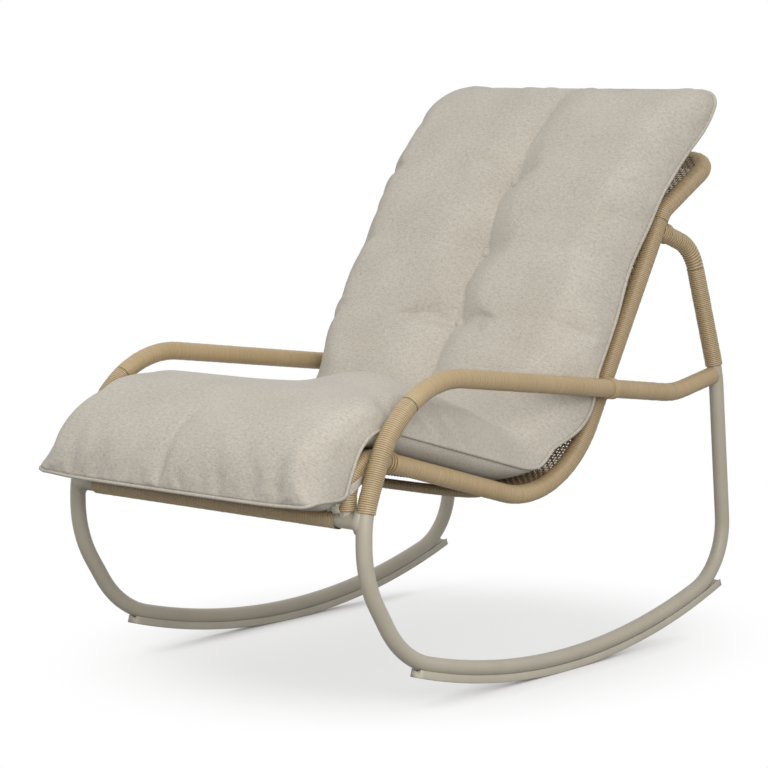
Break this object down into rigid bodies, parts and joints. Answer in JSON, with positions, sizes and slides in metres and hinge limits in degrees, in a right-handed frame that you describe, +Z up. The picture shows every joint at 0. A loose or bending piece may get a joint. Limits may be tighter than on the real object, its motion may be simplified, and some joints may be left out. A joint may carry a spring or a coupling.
{
  "type": "outdoor rocking chair",
  "caption": "Low outdoor rocking chair: bent tube side frames on curved runners, strand-wrapped arms and rails, a woven sling and one long tufted cushion.",
  "frame": {"origin": "centre of the bounding box in plan, on the floor under the runners", "axes": "the chair faces -Y, +Z is up, +X is the sitter's left; the runners touch the floor a little behind the origin"},
  "size_m": [0.6477, 1.0594, 0.9297],
  "materials": {
    "frame_paint": "satin powder coat, warm grey beige",
    "runner_strip": "matt strip, slightly paler than the frame",
    "wicker": "round synthetic strand, tan, low sheen",
    "cushion_fabric": "coarse oatmeal weave with self piping"
  },
  "bodies": {
    "root": {"cushion": "cushion_fabric", "front_bar_wrap": "wicker", "front_cross_bar": "frame_paint", "left_arm_lashing": "wicker", "left_arm_tube": "frame_paint", "left_arm_wrap": "wicker", "left_cushion_tie": "cushion_fabric", "left_rail_wrap": "wicker", "left_rocker_tube": "frame_paint", "left_runner": "runner_strip", "left_seat_lashing": "wicker", "left_upright_wrap": "wicker", "right_arm_lashing": "wicker", "right_arm_tube": "frame_paint", "right_arm_wrap": "wicker", "right_cushion_tie": "cushion_fabric", "right_rail_wrap": "wicker", "right_rocker_tube": "frame_paint", "right_runner": "runner_strip", "right_seat_lashing": "wicker", "right_upright_wrap": "wicker", "seat_bar_wrap": "wicker", "seat_cross_bar": "frame_paint", "sling_frame_tube": "frame_paint", "top_rail_wrap": "wicker", "tuft_button_1": "cushion_fabric", "tuft_button_2": "cushion_fabric", "tuft_button_3": "cushion_fabric", "woven_sling": "wicker"}
  },
  "joints": []
}
